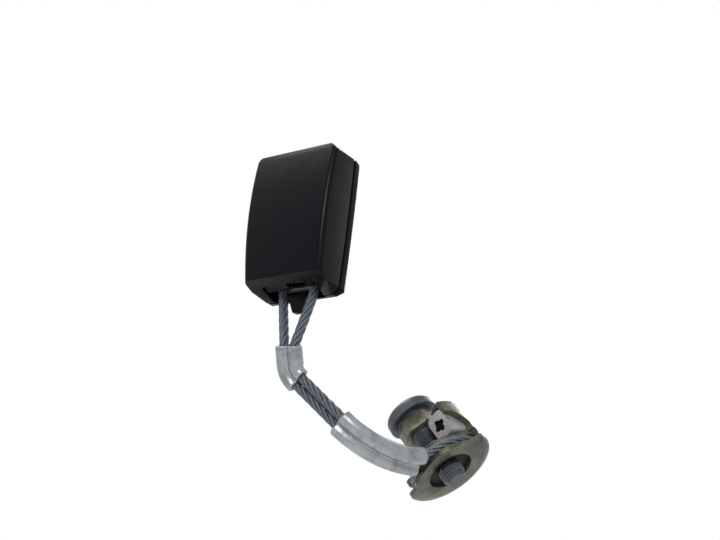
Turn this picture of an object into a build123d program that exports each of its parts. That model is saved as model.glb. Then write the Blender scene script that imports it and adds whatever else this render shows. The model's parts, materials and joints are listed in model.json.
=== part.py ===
"""Seat belt buckle on a wire rope stalk with its bolted floor anchor.

Millimetres. The row frame has its origin where the bolt's axis meets the seat of the anchor, and its
axes follow the housing: +X across it, +Y from its front to its back, +Z up towards the tongue slot.
Buckle pieces are drawn with the parting plane at Y = 0 and the front's lower edge at Z = 0. Anchor
pieces are drawn with Z along the bolt, X towards the stalk and the seat at Z = 0.
"""
import os
from math import acos, atan2, cos, hypot, pi, radians, sin, tan

from build123d import *

# Housing
housing_height = 60.6
width_at_top = 45.4
width_at_foot = 41.6
side_barrel = 0.5
front_depth = 13.5
front_crown = 3.0
rear_depth = 6.2
wall = 2.0
foot_drop = 5.6
top_fall = 2.4
rear_top_fall = 5.0
rear_top_bevel = 3.4
rear_top_ease = 1.0
rear_foot_bevel = 2.6
foot_flat = 1.0
edge_radius = 2.4
corner_cut = 3.0
least_cut = 0.6
least_radius = 0.5
loft_over = 0.8
parting_inset = 0.5
parting_gap = 0.3
parting_depth = 0.9
tail_drop = 7.0
tail_width = 10.8
tail_thick = 2.4
tail_shoulder = 1.0
tail_root = 0.4
tail_point = 3.2
tail_round = 1.2
post_width = 4.8
post_foot = 8.0
post_top = 11.4
post_back = -8.4

# Tongue slot and rope opening
slot_width = 25.0
slot_depth = 4.8
slot_front = -3.6
rope_mouth_width = 29.0
rope_mouth_front = -9.6
rope_mouth_taper = 1.0
rope_mouth_round = 1.2
rope_mouth_back = 0.5
rope_mouth_deep = 5.0
foot_panel_set = 1.5
foot_panel_thick = 1.6
foot_panel_back = -4.6
foot_panel_sink = 1.0
foot_window = (-2.0, 7.0, -8.0, -5.6)

# Steel frame
sheet = 2.2
frame_play = 0.2
frame_foot = -0.8
frame_corner = 2.5
frame_top = housing_height - 7.6
channel_width = 26.4
wall_front = -10.6
wall_corner = 2.0
wall_foot = housing_height - 38.6
wall_top = housing_height - 9.6
stop_thick = 1.2
stop_gap = 0.4
stop_width = 6.0
window_tall = 7.0
window_over = 2.0
window_side = 1.0

# Button and lock slider
button_width = 25.6
button_thick = 6.4
button_back = -4.5
button_land = housing_height - 6.2
button_travel = 5.5
button_tail_thick = 1.8
button_tail_foot = housing_height - 37.6
button_play = 0.3
button_edge = 0.9
button_proud = -0.9
button_dish = 24.0
button_dish_deep = 0.6
button_dish_wide = 18.0
button_tail_width = 21.0
button_room = 5.0
slider_thick = 1.6
slider_back = -7.0
slider_foot = housing_height - 24.6
slider_top = housing_height - 11.6
slider_ear = 3.0
slider_ear_foot = housing_height - 17.1
peg_radius = 1.5
peg_spread = 14.0
peg_drop = 3.0
peg_short = 0.2
slider_notch = 7.0
slider_notch_tall = 5.0
running = 0.15

# Latch and ejector
latch_thick = 1.8
latch_width = 16.0
latch_reach = 22.0
pivot_y = -5.7
pivot_z = housing_height - 34.1
pin_radius = 1.3
hub_radius = 2.2
latch_window = 6.0
latch_window_foot = 6.0
latch_window_top = 14.0
nose_side = 1.5
nose_sink = 0.1
nose_tall = 3.4
nose_land = 2.6
nose_rise = 0.4
nose_gap = 0.2
nose_lead = 0.3
pin_play = 0.05
frame_pin_play = 0.03
pin_head = 0.8
pin_proud = 0.1
ejector_width = 18.0
ejector_top = housing_height - 16.6
ejector_height = 6.0
ejector_round = 1.0
ejector_front_play = 0.5
ejector_back_play = 0.2
ejector_wing = 2.5
ejector_wing_foot = 1.0
ejector_wing_top = 3.4
ejector_wing_set = 1.2

# Springs
spring_wire = 0.5
spring_coil = 1.6
spring_gap = 0.2
spring_turns = 6
ejector_coil = 1.5
latch_spring_turns = 4
latch_spring_play = 0.5

# Rope and what grips it
rope_radius = 2.2
saddle_radius = 6.6
saddle_z = 9.0
saddle_rivet = 3.0
saddle_flange = 1.4
rivet_play = 0.05
rope_play = 0.1
rope_grip = 0.04
pair_offset = 2.4
sleeve_wall = 2.0
sleeve_waist = 3.9
ferrule_wall = 1.7
ferrule_lead = 1.5
ferrule_waist_in = 0.5
ferrule_trail = 5.5
rope_break = 4.4
rope_gap = 0.4
leg_mouth = -3.0
leg_bend = 36.0
ferrule_bend_radius = 8.0
split_bend = 6.5
bend_slack = 0.1
loop_slack = 0.2
loop_corners = 4

# Stalk
sleeve_bend = 69.57
sleeve_bend_radius = 33.3
stalk_run = 30.2
ferrule_rise = Vector(1.05, -4.55, 9.7)
housing_rise = Vector(0.8, -1.0, 39.3)

# Anchor
bolt_lean = 40.3
bolt_swing = 2.83
stalk_side = Vector(-0.155, -0.973, -0.172)
thimble_bend = 15.0
thimble_bore = 10.6
seat_radius = 17.0
front_flange_radius = 21.2
front_flange_fall = 1.8
rear_flange_radius = 17.6
flange = 2.0
flange_bend = 1.0
stalk_flat = 17.8
sleeve_start = 21.0
leg_split = 18.4

# Bracket, block, bolt and nut
bracket_thick = 2.8
bracket_bore = 6.4
bracket_collar = 4.2
hood_radius = front_flange_radius - 1.0
hood_height = 12.6
hood_band = 5.0
hood_near = 10.0
hood_far = 17.0
roof_near = 9.2
roof_far = 1.0
roof_clear = 2.0
roof_sink = 1.0
block_side = 7.8
block_height = 12.8
block_near = 8.6
block_length = 9.0
block_end = 5.0
block_round = 1.6
recess_radius = 2.1
recess_spread = 3.2
recess_depth = 1.6
bolt_radius = 5.556
bolt_tip = 5.6
tip_dog = 1.4
tip_dog_fall = 1.2
tip_bevel = 0.4
thread_bevel = 1.0
groove_front = 1.6
groove_width = 2.0
groove_radius = 4.9
cap_radius = 12.0
cap_thick = 5.8
cap_round = 2.6
cap_front = 31.2
collar_radius = 8.2
collar_thick = 1.6
nut_flats = 17.5
nut_height = 6.6
nut_bevel = 0.9
nut_bevel_tall = 0.6
nut_play = 0.05
nut_seat = 0.1
washer_play = 0.1
washer_fit = 0.05

# Beyond the piece that a cut or a limit is made in
over = 1.0
far = 100.0

# Worked out from the sizes above
frame_back = rear_depth - wall - frame_play
frame_face = frame_back - sheet
rope_y = frame_face - rope_play - rope_radius
saddle_bend = saddle_radius + rope_play + rope_radius
spring_seat = saddle_z + saddle_bend + rope_radius + stop_gap + stop_thick
gorge = 2 * (rope_radius + rope_play)
thimble_length = gorge + 2 * flange
rope_plane = -flange - gorge / 2
bracket_front = -thimble_length
bracket_rear = bracket_front - bracket_thick


def anchor_frame():
    """The anchor's own plane: Z along the bolt towards its tip, X towards the stalk."""
    lean = radians(bolt_lean)
    swing = radians(bolt_swing)
    bolt_way = Vector(sin(lean) * cos(swing), sin(lean) * sin(swing), -cos(lean))
    side = stalk_side - bolt_way * stalk_side.dot(bolt_way)
    return Plane(origin=(0, 0, 0), x_dir=side, z_dir=bolt_way)


anchor = anchor_frame()


def at_anchor(x, y, z):
    """A point of the anchor's own frame, in the row frame."""
    return anchor.from_local_coords(Vector(x, y, z))


bend = radians(sleeve_bend)
stalk_way = at_anchor(cos(bend), 0, -sin(bend))
pair_way = at_anchor(0, 1, 0)
sleeve_top = at_anchor(
    sleeve_start + sleeve_bend_radius * sin(bend),
    0,
    rope_plane - sleeve_bend_radius * (1 - cos(bend)),
)
ferrule_bend = sleeve_top + stalk_way * stalk_run
ferrule_top = ferrule_bend + ferrule_rise
buckle_at = ferrule_bend + housing_rise


def on_buckle(shape):
    """Carries a buckle piece to its place in the row frame."""
    return Pos(buckle_at.X, buckle_at.Y, buckle_at.Z) * shape


def on_anchor(shape):
    """Carries an anchor piece to its place in the row frame."""
    return anchor.location * shape


def block(x0, x1, y0, y1, z0, z1):
    """A box between two corners."""
    middle = ((x0 + x1) / 2, (y0 + y1) / 2, (z0 + z1) / 2)
    return Pos(*middle) * Box(abs(x1 - x0), abs(y1 - y0), abs(z1 - z0))


def wide(width, y0, y1, z0, z1):
    """A box centred on the housing's middle plane."""
    return block(-width / 2, width / 2, y0, y1, z0, z1)


def rod_x(radius, x0, x1, y, z):
    """A round rod along X."""
    return Pos((x0 + x1) / 2, y, z) * Rot(0, 90, 0) * Cylinder(radius, x1 - x0)


def rod_y(radius, x, y0, y1, z):
    """A round rod along Y."""
    return Pos(x, (y0 + y1) / 2, z) * Rot(90, 0, 0) * Cylinder(radius, y1 - y0)


# ---- housing ----


def front_view(inset=0.0):
    """The housing's outline from the front, which rounds its four corners."""
    half = width_at_top / 2 + side_barrel + over - inset
    half_top = width_at_top / 2 - inset
    half_foot = width_at_foot / 2 - inset
    z0 = -foot_drop + inset
    z1 = housing_height - inset
    cut = max(corner_cut - inset, least_cut)
    with BuildSketch(Plane.XZ) as sketch:
        with BuildLine():
            Polyline(
                (-half, z0 + cut),
                (-half_foot, z0 + cut),
                (-half_foot + cut, z0),
                (half_foot - cut, z0),
                (half_foot, z0 + cut),
                (half, z0 + cut),
                (half, z1 - cut),
                (half_top, z1 - cut),
                (half_top - cut, z1),
                (-half_top + cut, z1),
                (-half_top, z1 - cut),
                (-half, z1 - cut),
                close=True,
            )
        make_face()
    return sketch.sketch


def side_view(inset=0.0):
    """The housing's outline from the side: sloped foot, falling top and bevelled rear corners."""
    front = -front_depth - front_crown - over
    slope = foot_drop * (front_crown + over) / front_depth
    back = rear_depth - inset
    foot = -foot_drop + inset
    top = housing_height - inset
    with BuildSketch(Plane.YZ) as sketch:
        with BuildLine():
            Polyline(
                (front, top),
                (-front_depth, top),
                (0, top - top_fall),
                (back - rear_top_bevel, top - top_fall - rear_top_ease),
                (back, top - rear_top_fall),
                (back, foot + rear_foot_bevel),
                (back - rear_foot_bevel, foot),
                (-foot_flat, foot),
                (-front_depth, inset),
                (front, inset + slope),
                close=True,
            )
        make_face()
    return sketch.sketch


def plan_section(height, inset):
    """One level section of the housing, with its long edges rounded."""
    share = (height + foot_drop) / (housing_height + foot_drop)
    arch = 1 - (2 * share - 1) ** 2
    half = (width_at_foot + (width_at_top - width_at_foot) * share) / 2 + side_barrel * arch - inset
    front = -front_depth - front_crown * arch + inset
    back = rear_depth - inset
    rounding = max(edge_radius - inset, least_radius)
    with BuildSketch(Plane.XY.offset(height)) as sketch:
        Polygon((-half, front), (half, front), (half, back), (-half, back), align=None)
        fillet(sketch.vertices().sort_by(Axis.Y)[:2], rounding)
        fillet(sketch.vertices().sort_by(Axis.Y)[-2:], rounding)
    return sketch.sketch


def housing_body(inset=0.0):
    """The whole housing as one block, drawn in by inset for its inside."""
    levels = 5
    start = -foot_drop - loft_over
    step = (housing_height + loft_over - start) / (levels - 1)
    sections = [plan_section(start + step * i, inset) for i in range(levels)]
    body = loft(sections)
    across = extrude(side_view(inset), amount=width_at_top, both=True)
    along = extrude(front_view(inset), amount=front_depth + front_crown + rear_depth, both=True)
    return body & across & along


def tongue_opening():
    """The space of the tongue slot, open at the top."""
    return wide(slot_width, slot_front, slot_front + slot_depth, frame_top, housing_height + over)


def button_opening():
    """The space that the button travels in, open at the top."""
    width = button_width + 2 * button_play
    front = button_back - button_thick - button_play
    foot = frame_top - button_room
    return wide(width, front, button_back + button_play, foot, housing_height + over)


def rope_opening():
    """The wide mouth in the foot that the rope's legs leave by, narrower towards the back."""
    back = rope_y + rope_radius + rope_mouth_back
    with BuildSketch(Plane.XY.offset(-foot_drop - over)) as mouth:
        half = rope_mouth_width / 2
        Polygon(
            (-half, rope_mouth_front),
            (half, rope_mouth_front),
            (half - rope_mouth_taper, back),
            (-half + rope_mouth_taper, back),
            align=None,
        )
        fillet(mouth.vertices(), rope_mouth_round)
    return extrude(mouth.sketch, amount=foot_drop + over + rope_mouth_deep)


def foot_panel():
    """The panel set back in the mouth, in front of the rope's legs, with its small window."""
    slope = -foot_drop / (front_depth - foot_flat)
    front = rope_mouth_front - foot_panel_sink
    levels = [slope * (y + front_depth) + foot_panel_set for y in (front, foot_panel_back)]
    with BuildSketch(Plane.YZ) as side:
        Polygon(
            (front, levels[0]),
            (foot_panel_back, levels[1]),
            (foot_panel_back, levels[1] + foot_panel_thick),
            (front, levels[0] + foot_panel_thick),
            align=None,
        )
    panel = extrude(side.sketch, amount=rope_mouth_width / 2 + foot_panel_sink, both=True)
    return panel - block(*foot_window, -far, far)


def front_shell():
    """The deep front shell with its foot panel and its spring posts."""
    keep = wide(far, -far, 0, -far, far)
    shell = (housing_body() & keep) - housing_body(wall)
    shell = shell - tongue_opening() - button_opening() - rope_opening() + foot_panel()
    for x in (-peg_spread / 2, peg_spread / 2):
        x0 = x - post_width / 2
        post = block(x0, x0 + post_width, -far, post_back, post_foot, post_top)
        shell = shell + (post & housing_body(wall / 2))
    return shell


def rear_shell():
    """The shallow rear shell, set in a little at the parting line, with the tail between the legs."""
    whole = housing_body()
    keep = wide(far, parting_gap, far, -far, far)
    rim = wide(far, parting_gap, parting_gap + parting_depth, -far, far)
    shell = (whole & keep) - housing_body(wall)
    shell = shell - ((whole & rim) - housing_body(parting_inset))
    shell = shell - tongue_opening() - rope_opening()
    web_front = rope_y - tail_thick / 2
    web = wide(tail_width, web_front, rear_depth - wall, -foot_drop, -foot_drop + wall)
    return shell + web + tail()


def tail():
    """The V-shaped tail that keeps the two legs of the rope apart."""
    half = tail_width / 2
    with BuildSketch(Plane.XZ.offset(-rope_y)) as vee:
        Polygon(
            (-half, -foot_drop + tail_shoulder),
            (half, -foot_drop + tail_shoulder),
            (half - tail_shoulder, -foot_drop - tail_root),
            (tail_point / 2, -foot_drop - tail_drop),
            (-tail_point / 2, -foot_drop - tail_drop),
            (-half + tail_shoulder, -foot_drop - tail_root),
            align=None,
        )
        fillet(vee.vertices().sort_by(Axis.Y)[:2], tail_round)
    return extrude(vee.sketch, amount=tail_thick / 2, both=True)


# ---- button, lock slider and frame ----


def button_body():
    """The release button: its end pad, its tail under the front and the two pegs on the tail."""
    front = button_back - button_thick
    end = housing_height + button_proud
    pad = wide(button_width, front, button_back, button_land, end)
    pad = fillet(pad.edges().group_by(Axis.Z)[-1], button_edge)
    half_dish = button_dish_wide / 2
    dish_z = end - button_dish_deep + button_dish
    pad = pad - rod_x(button_dish, -half_dish, half_dish, (front + button_back) / 2, dish_z)
    peg_y = front + button_tail_thick
    shape = pad + wide(button_tail_width, front, peg_y, button_tail_foot, button_land)
    for x in (-peg_spread / 2, peg_spread / 2):
        shape = shape + rod_y(peg_radius, x, peg_y, slider_back - peg_short, slider_top - peg_drop)
    return shape


def slider_body():
    """The lock slider: a steel plate with two ears that ride in the frame's walls."""
    front = slider_back - slider_thick
    inner = channel_width / 2 - running
    plate = wide(2 * inner, front, slider_back, slider_foot, slider_top)
    ears_top = slider_ear_foot + slider_ear
    ears = wide(2 * (inner + running + sheet), front, slider_back, slider_ear_foot, ears_top)
    shape = plate + ears
    for x in (-peg_spread / 2, peg_spread / 2):
        peg_z = slider_top - peg_drop
        shape = shape - rod_y(peg_radius + running, x, front - over, slider_back + over, peg_z)
    notch_top = slider_foot + slider_notch_tall
    notch = wide(slider_notch, front - over, slider_back + over, slider_foot - over, notch_top)
    return shape - notch


def frame_body():
    """The folded steel frame: its back, the two walls, the spring stop and all its holes."""
    inner = channel_width / 2
    outer = inner + sheet
    back = wide(2 * outer, frame_face, frame_back, frame_foot, frame_top)
    shape = chamfer(back.edges().filter_by(Axis.Y), frame_corner)
    for x0, x1 in ((-outer, -inner), (inner, outer)):
        side = block(x0, x1, wall_front, frame_back, wall_foot, wall_top)
        shape = shape + chamfer(side.edges().filter_by(Axis.X).group_by(Axis.Y)[0], wall_corner)
    track_front = slider_back - slider_thick - running
    track_foot = slider_ear_foot - button_travel - running
    track_top = slider_ear_foot + slider_ear + running
    shape = shape - wide(far, track_front, slider_back + running, track_foot, track_top)
    shape = shape - rod_x(pin_radius + frame_pin_play, -far, far, pivot_y, pivot_z)
    width = latch_width - 2 * window_side
    window_top = pivot_z + latch_reach + window_over
    window_foot = window_top - window_tall
    shape = shape - wide(width, frame_face - over, frame_back + over, window_foot, window_top)
    rivet_hole = saddle_rivet + rivet_play
    shape = shape - rod_y(rivet_hole, 0, frame_face - over, frame_back + over, saddle_z)
    stop_foot = spring_seat - stop_thick
    return shape + wide(stop_width, rope_y - rope_radius, frame_back, stop_foot, spring_seat)


def saddle_body():
    """The round saddle that the rope turns on, with its front flange and its riveted shank."""
    front = rope_y - rope_radius - rope_play
    shape = rod_y(saddle_radius, 0, front, frame_face, saddle_z)
    shape = shape + rod_y(saddle_bend + rope_radius, 0, front - saddle_flange, front, saddle_z)
    return shape + rod_y(saddle_rivet, 0, frame_face, frame_back, saddle_z)


def latch_body():
    """The latch: a plate with a nose at its tip and two hubs on the pin."""
    y0 = pivot_y - latch_thick / 2
    y1 = pivot_y + latch_thick / 2
    tip = pivot_z + latch_reach
    plate = wide(latch_width, y0, y1, pivot_z, tip)
    window_foot = pivot_z + latch_window_foot
    plate = plate - wide(latch_window, y0 - over, y1 + over, window_foot, pivot_z + latch_window_top)
    nose_y = slot_front - nose_gap
    with BuildSketch(Plane.YZ) as side:
        Polygon(
            (y1 - nose_sink, tip - nose_tall),
            (nose_y - nose_lead, tip - nose_land - nose_rise),
            (nose_y, tip - nose_land),
            (y1 - nose_sink, tip),
            align=None,
        )
    nose = extrude(side.sketch, amount=latch_width / 2 - nose_side, both=True)
    hub = rod_x(hub_radius, -latch_width / 2, latch_width / 2, pivot_y, pivot_z)
    shape = plate + nose + hub
    return shape - rod_x(pin_radius + pin_play, -far, far, pivot_y, pivot_z)


def latch_pin():
    """The latch's pin, from one wall of the frame to the other, with a head at each end."""
    end = channel_width / 2 + sheet + pin_proud
    head = end + pin_head
    pin = rod_x(pin_radius, -end, end, pivot_y, pivot_z)
    for x0, x1 in ((-head, -end), (end, head)):
        pin = pin + rod_x(pin_radius + pin_head, x0, x1, pivot_y, pivot_z)
    return pin


def ejector_body():
    """The ejector: a block in the tongue's channel with a wing at each side."""
    y0 = slot_front + ejector_front_play
    y1 = frame_face - ejector_back_play
    foot = ejector_top - ejector_height
    shape = wide(ejector_width, y0, y1, foot, ejector_top)
    shape = fillet(shape.edges().filter_by(Axis.Y), ejector_round)
    width = ejector_width + 2 * ejector_wing
    wing_foot = foot + ejector_wing_foot
    wing_top = foot + ejector_wing_top
    return shape + wide(width, y0 + ejector_wing_set, y1 - ejector_wing_set, wing_foot, wing_top)


# ---- springs ----


def spring(radius, wire, length, turns):
    """A coil standing on Z = 0."""
    pitch = (length - wire) / turns
    path = Helix(pitch=pitch, height=length - wire, radius=radius)
    section = Plane(origin=path @ 0, z_dir=path % 0) * Circle(wire / 2)
    return Pos(0, 0, wire / 2) * sweep(section, path=path)


def button_springs():
    """The two springs that push the button out, from the front's posts to the button's tail."""
    foot = post_top + spring_gap
    length = button_tail_foot - spring_gap - foot
    y = button_back - button_thick + button_tail_thick / 2
    coil = spring(spring_coil, spring_wire, length, spring_turns)
    return Part() + [Pos(x, y, foot) * coil for x in (-peg_spread / 2, peg_spread / 2)]


def ejector_spring():
    """The spring behind the ejector, standing on the frame's stop."""
    foot = spring_seat + spring_gap
    length = ejector_top - ejector_height - spring_gap - foot
    y = (slot_front + frame_face) / 2
    return Pos(0, y, foot) * spring(ejector_coil, spring_wire, length, spring_turns)


def latch_spring():
    """The small torsion spring on the latch's pin."""
    start = latch_width / 2 + latch_spring_play
    length = channel_width / 2 - latch_spring_play - start
    radius = pin_radius + spring_gap + spring_wire / 2
    coil = spring(radius, spring_wire, length, latch_spring_turns)
    return Pos(start, pivot_y, pivot_z) * (Rot(0, 90, 0) * coil)


# ---- rope, ferrule and sleeve ----


def squared(side, way_in, way_out):
    """A sideways direction turned square to the middle of a bend."""
    along = (way_in.normalized() + way_out.normalized()).normalized()
    return (side - along * side.dot(along)).normalized()


def leg_points(side):
    """The corners of one leg, from the saddle down to the thimble, with the radius at each."""
    middle_mouth = buckle_at + Vector(0, rope_y, leg_mouth)
    mouth = middle_mouth + Vector(side * saddle_bend, 0, 0)
    sleeve_corner = at_anchor(sleeve_start + sleeve_bend_radius * tan(bend / 2), 0, rope_plane)
    upper = ferrule_top - middle_mouth
    inside = ferrule_bend - ferrule_top
    lower = sleeve_corner - ferrule_bend
    across_top = squared(Vector(1, 0, 0), upper, inside)
    across_bend = squared(pair_way * -1, inside, lower)
    offset = side * pair_offset
    split = at_anchor(leg_split, -offset, rope_plane)
    return [
        (mouth, leg_bend),
        (ferrule_top + across_top * offset, ferrule_bend_radius),
        (ferrule_bend + across_bend * offset, ferrule_bend_radius),
        (sleeve_corner - pair_way * offset, sleeve_bend_radius),
        (split, split_bend),
    ]


def loop_points():
    """The corners round the thimble, from the leg on -X's side of the buckle to the other."""
    split = hypot(leg_split, pair_offset)
    start = atan2(pair_offset, leg_split) + acos(thimble_bend / split)
    turn = (2 * pi - 2 * start) / loop_corners
    reach = thimble_bend / cos(turn / 2)
    corners = []
    for i in range(loop_corners):
        angle = start + turn * (i + 0.5)
        corner = at_anchor(reach * cos(angle), reach * sin(angle), rope_plane)
        corners.append((corner, thimble_bend - loop_slack))
    return corners


def rope_route():
    """The whole loop: from its end in the ferrule, over the saddle, round the thimble and back."""
    right = leg_points(1)
    left = leg_points(-1)
    saddle_top = saddle_z + saddle_bend
    bridge = []
    for side in (1, -1):
        corner = buckle_at + Vector(side * saddle_bend, rope_y, saddle_top)
        bridge.append((corner, saddle_bend - bend_slack))
    right_way = (right[3][0] - right[2][0]).normalized()
    start = right[2][0] + right_way * rope_break
    end = start + right_way * rope_gap
    corners = right[2::-1] + bridge + left + loop_points() + right[:2:-1]
    return start, corners, end


def rope_path():
    """The rope's centre line as straight runs joined by arcs."""
    start, corners, end = rope_route()
    points = [start] + [corner for corner, _ in corners] + [end]
    return FilletPolyline(*points, radius=[radius for _, radius in corners])


def tube(path, radius):
    """A round solid along a path."""
    section = Plane(origin=path @ 0, z_dir=path % 0) * Circle(radius)
    return sweep(section, path=path)


def oval(wall_round, waist):
    """A two-lobed section: one lobe round each leg, with a shallow waist between."""
    lobe = rope_radius + wall_round
    lobes = Pos(0, pair_offset) * Circle(lobe) + Pos(0, -pair_offset) * Circle(lobe)
    return lobes + Rectangle(2 * waist, 2 * pair_offset)


def sleeve_body():
    """The long swaged sleeve, bent about the pair's own direction from the thimble's plane."""
    section = oval(sleeve_wall, sleeve_waist)
    for y in (-pair_offset, pair_offset):
        section = section - Pos(0, y) * Circle(rope_radius + rope_grip)
    profile = Plane.YZ * (Rot(0, 0, 90) * section)
    middle = Axis((0, 0, -sleeve_bend_radius), (0, 1, 0))
    curved = revolve(profile, middle, revolution_arc=sleeve_bend)
    curved = curved.moved(Location((sleeve_start, 0, rope_plane)))
    return on_anchor(curved)


def ferrule_body():
    """The short ferrule just below the housing, which follows the bend of the pair."""
    lead = (ferrule_top - ferrule_bend).normalized()
    path = FilletPolyline(
        ferrule_top + lead * ferrule_lead,
        ferrule_bend,
        ferrule_bend - stalk_way * ferrule_trail,
        radius=ferrule_bend_radius,
    )
    across = squared(pair_way * -1, path % 0, path % 0)
    start = Plane(origin=path @ 0, x_dir=across, z_dir=path % 0)
    waist = rope_radius + ferrule_wall - ferrule_waist_in
    section = start * (Rot(0, 0, 90) * oval(ferrule_wall, waist))
    return sweep(section, path=path)


# ---- anchor ----


def ring(profile):
    """A solid of revolution about the bolt's axis, from points of radius and height."""
    with BuildSketch(Plane.XZ) as sketch:
        Polygon(*profile, align=None)
    return revolve(sketch.sketch, Axis.Z)


def thimble_body():
    """The thimble: a hub with two flanges that hold the rope, cut flat where the sleeve ends."""
    hub = thimble_bend - rope_radius - rope_play
    body = ring(
        [
            (thimble_bore, 0),
            (seat_radius, 0),
            (front_flange_radius, -front_flange_fall),
            (front_flange_radius, -front_flange_fall - flange),
            (seat_radius + flange_bend, -flange),
            (hub, -flange),
            (hub, bracket_front + flange),
            (rear_flange_radius, bracket_front + flange),
            (rear_flange_radius, bracket_front),
            (thimble_bore, bracket_front),
        ]
    )
    return body - block(stalk_flat, far, -far, far, -far, far)


def bracket_body():
    """The rear bracket: a plate with a band that climbs round its side and roofs over the block."""
    collar, plate = (
        ring(
            [
                (bracket_bore, bracket_front),
                (radius, bracket_front),
                (radius, bracket_rear),
                (bracket_bore, bracket_rear),
            ]
        )
        for radius in (bracket_bore + bracket_collar, hood_radius)
    )
    plate = collar + (plate - block(block_end, far, -far, far, -far, far))
    plate = plate - block(block_end - block_length, far, -far, -block_near, -far, far)
    inner = hood_radius - bracket_thick
    hood_top = bracket_rear - hood_height
    wall_ring = ring(
        [
            (inner, bracket_front),
            (hood_radius, bracket_front),
            (hood_radius, hood_top),
            (inner, hood_top),
        ]
    )
    with BuildSketch(Plane.XZ) as climb:
        Polygon(
            (hood_near, hood_top),
            (hood_near, hood_top + hood_band),
            (roof_far, hood_top + hood_band),
            (hood_band - hood_far, bracket_front),
            (-hood_far, bracket_front),
            (-hood_far, bracket_rear),
            (-roof_far - hood_band / 2, hood_top),
            align=None,
        )
    band = wall_ring & extrude(climb.sketch, amount=far)
    roof_edge = -block_near - roof_clear
    roof_rear = hood_top + bracket_thick / 2
    roof = block(roof_far, roof_near, -inner - roof_sink, roof_edge, hood_top, roof_rear)
    return plate + band + roof


def stop_block():
    """The square block beside the bolt, with a rough figure-of-eight recess in its end."""
    y0 = -block_near - block_side
    z1 = bracket_front
    z0 = z1 - block_height
    body = block(block_end - block_length, block_end, y0, -block_near, z0, z1)
    body = fillet(body.edges().filter_by(Axis.X), block_round)
    y = -block_near - block_side / 2
    for rise in (-recess_spread / 2, recess_spread / 2):
        z = (z0 + z1) / 2 + rise
        body = body - rod_x(recess_radius, block_end - recess_depth, block_end + over, y, z)
    return body


def bolt_body():
    """The anchor bolt: its dog tip, shank, retaining groove, collar and round head."""
    shank_end = -cap_front
    body = ring(
        [
            (0, bolt_tip),
            (bolt_radius - tip_dog_fall - tip_bevel, bolt_tip),
            (bolt_radius - tip_dog_fall, bolt_tip - tip_dog),
            (bolt_radius, bolt_tip - tip_dog - thread_bevel),
            (bolt_radius, -groove_front),
            (groove_radius, -groove_front),
            (groove_radius, -groove_front - groove_width),
            (bolt_radius, -groove_front - groove_width),
            (bolt_radius, shank_end + collar_thick),
            (collar_radius, shank_end + collar_thick),
            (collar_radius, shank_end),
            (cap_radius, shank_end),
            (cap_radius, shank_end - cap_thick),
            (0, shank_end - cap_thick),
        ]
    )
    return fillet(body.edges().sort_by(Axis.Z)[0], cap_round)


def nut_body():
    """The hex nut under the bolt's head, with its corners bevelled."""
    foot = -cap_front + collar_thick + nut_seat
    top = foot + nut_height
    body = Pos(0, 0, foot) * extrude(RegularPolygon(nut_flats / 2, 6, major_radius=False), amount=nut_height)
    corner = nut_flats / 2 / cos(radians(30))
    bore = bolt_radius + nut_play
    limit = ring(
        [
            (bore, foot),
            (corner - nut_bevel, foot),
            (corner, foot + nut_bevel_tall),
            (corner, top - nut_bevel_tall),
            (corner - nut_bevel, top),
            (bore, top),
        ]
    )
    return body & limit


def retaining_washer():
    """The plastic washer that snaps into the bolt's groove and keeps it in the thimble."""
    z1 = -groove_front - washer_play
    z0 = -groove_front - groove_width + washer_play
    outer = thimble_bore - washer_fit
    inner = groove_radius + washer_fit
    return ring([(inner, z0), (outer, z0), (outer, z1), (inner, z1)])


# ---- the nodes ----


def build():
    """Every node of the assembly, by name."""
    path = rope_path()
    bored = tube(path, rope_radius + rope_grip)
    nodes = {
        "front_shell": front_shell(),
        "rear_shell": rear_shell(),
        "release_button": button_body(),
        "lock_slider": slider_body(),
        "buckle_frame": frame_body(),
        "rope_saddle": saddle_body(),
        "latch": latch_body(),
        "latch_pin": latch_pin(),
        "latch_spring": latch_spring(),
        "ejector": ejector_body(),
        "ejector_spring": ejector_spring(),
        "button_springs": button_springs(),
    }
    nodes = {name: on_buckle(shape) for name, shape in nodes.items()}
    nodes["wire_rope"] = tube(path, rope_radius)
    nodes["upper_ferrule"] = ferrule_body() - bored
    nodes["lower_sleeve"] = sleeve_body()
    anchored = {
        "thimble": thimble_body(),
        "anchor_bracket": bracket_body(),
        "stop_block": stop_block(),
        "anchor_bolt": bolt_body(),
        "hex_nut": nut_body(),
        "retaining_washer": retaining_washer(),
    }
    for name, shape in anchored.items():
        nodes[name] = on_anchor(shape)
    return nodes


def print_rope():
    """Prints the rope's length and the radius of each of its bends."""
    print("rope length", round(rope_path().length, 1))
    print("rope radii", [round(radius, 1) for _, radius in rope_route()[1]])


def main():
    os.makedirs("parts", exist_ok=True)
    for name, shape in build().items():
        shape.label = name
        export_step(shape, f"parts/{name}.step")
    print_rope()


if __name__ == "__main__":
    main()
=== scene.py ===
"""Seat belt buckle: the finish of its pieces, its stranded rope, its bolt and the stage."""

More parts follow.
